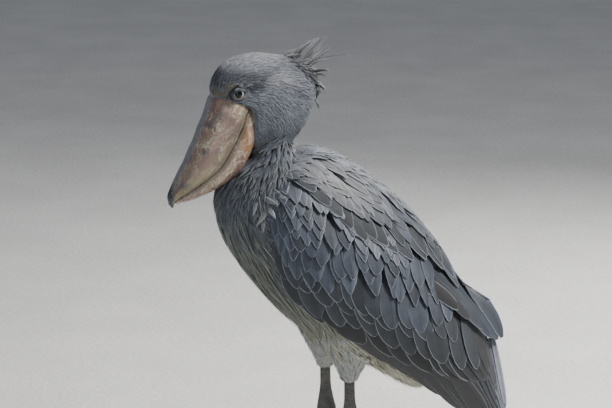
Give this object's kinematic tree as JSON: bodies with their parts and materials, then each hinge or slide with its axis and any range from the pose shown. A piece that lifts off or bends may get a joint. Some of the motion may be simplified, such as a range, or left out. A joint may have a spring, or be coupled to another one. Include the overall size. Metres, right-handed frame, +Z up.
{
  "type": "shoebill",
  "caption": "Life-size still model of a standing shoebill, neck drawn in and bill laid on its breast, for display.",
  "frame": {"origin": "on the floor, at the middle of the bird's outline seen from above", "axes": "+Z up, the bird faces -Y, +X is the bird's left side"},
  "size_m": [0.2952, 0.6574, 1.0056],
  "materials": {
    "body_plumage": "matt slate-grey plumage",
    "flight_feathers": "dark blue-grey vanes with pale rims",
    "pale_plumage": "pale grey down",
    "bill": "horn, mottled pinkish brown and straw",
    "leg_skin": "dark scaled skin",
    "claw": "dark horn",
    "eye": "wet, pale grey-green iris with a dark pupil"
  },
  "bodies": {
    "root": {"bill_lower": "bill", "bill_upper": "bill", "claw_left_hind": "claw", "claw_left_inner": "claw", "claw_left_middle": "claw", "claw_left_outer": "claw", "claw_right_hind": "claw", "claw_right_inner": "claw", "claw_right_middle": "claw", "claw_right_outer": "claw", "eye_left": "eye", "eye_right": "eye", "head": "body_plumage", "leg_left": "leg_skin", "leg_right": "leg_skin", "neck": "body_plumage", "tail": "flight_feathers", "thigh_left": "pale_plumage", "thigh_right": "pale_plumage", "toe_left_hind": "leg_skin", "toe_left_inner": "leg_skin", "toe_left_middle": "leg_skin", "toe_left_outer": "leg_skin", "toe_right_hind": "leg_skin", "toe_right_inner": "leg_skin", "toe_right_middle": "leg_skin", "toe_right_outer": "leg_skin", "torso": "body_plumage", "wing_left": "flight_feathers", "wing_right": "flight_feathers"}
  },
  "joints": []
}
